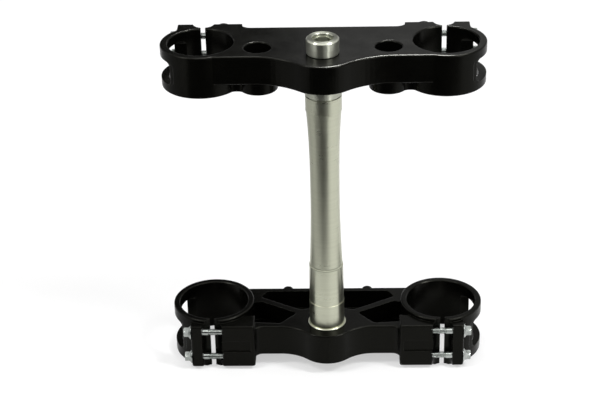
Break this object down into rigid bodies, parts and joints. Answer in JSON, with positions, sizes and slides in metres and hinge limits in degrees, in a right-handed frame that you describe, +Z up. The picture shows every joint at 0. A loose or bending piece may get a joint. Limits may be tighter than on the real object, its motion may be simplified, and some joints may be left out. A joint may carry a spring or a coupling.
{
  "type": "motorcycle triple clamp",
  "caption": "Motorcycle triple clamp: machined top and bottom fork clamps joined by a steering stem, with slotted fork rings, pinch bolts and handlebar mount holes.",
  "frame": {"origin": "on the steering axis at the crown race seat, where the lower bearing seat starts above the bottom clamp", "axes": "+Z up along the steering stem, +Y forward from the steering axis to the fork tubes, +X to the right seen from the rider's side"},
  "size_m": [0.2708, 0.0945, 0.3079],
  "materials": {
    "black_anodised": "machined and black anodised, satin",
    "satin_aluminium": "turned and satin, natural",
    "turned_aluminium": "turned, bright",
    "zinc_steel": "bright zinc plated"
  },
  "bodies": {
    "root": {"top_clamp": "black_anodised", "bottom_clamp": "black_anodised", "steering_stem": "satin_aluminium", "stem_bolt": "turned_aluminium", "top_spacer": "turned_aluminium", "top_bolt_left_upper": "zinc_steel", "top_bolt_left_lower": "zinc_steel", "top_bolt_right_upper": "zinc_steel", "top_bolt_right_lower": "zinc_steel", "low_bolt_left_upper": "zinc_steel", "low_bolt_left_lower": "zinc_steel", "low_bolt_right_upper": "zinc_steel", "low_bolt_right_lower": "zinc_steel"}
  },
  "joints": []
}
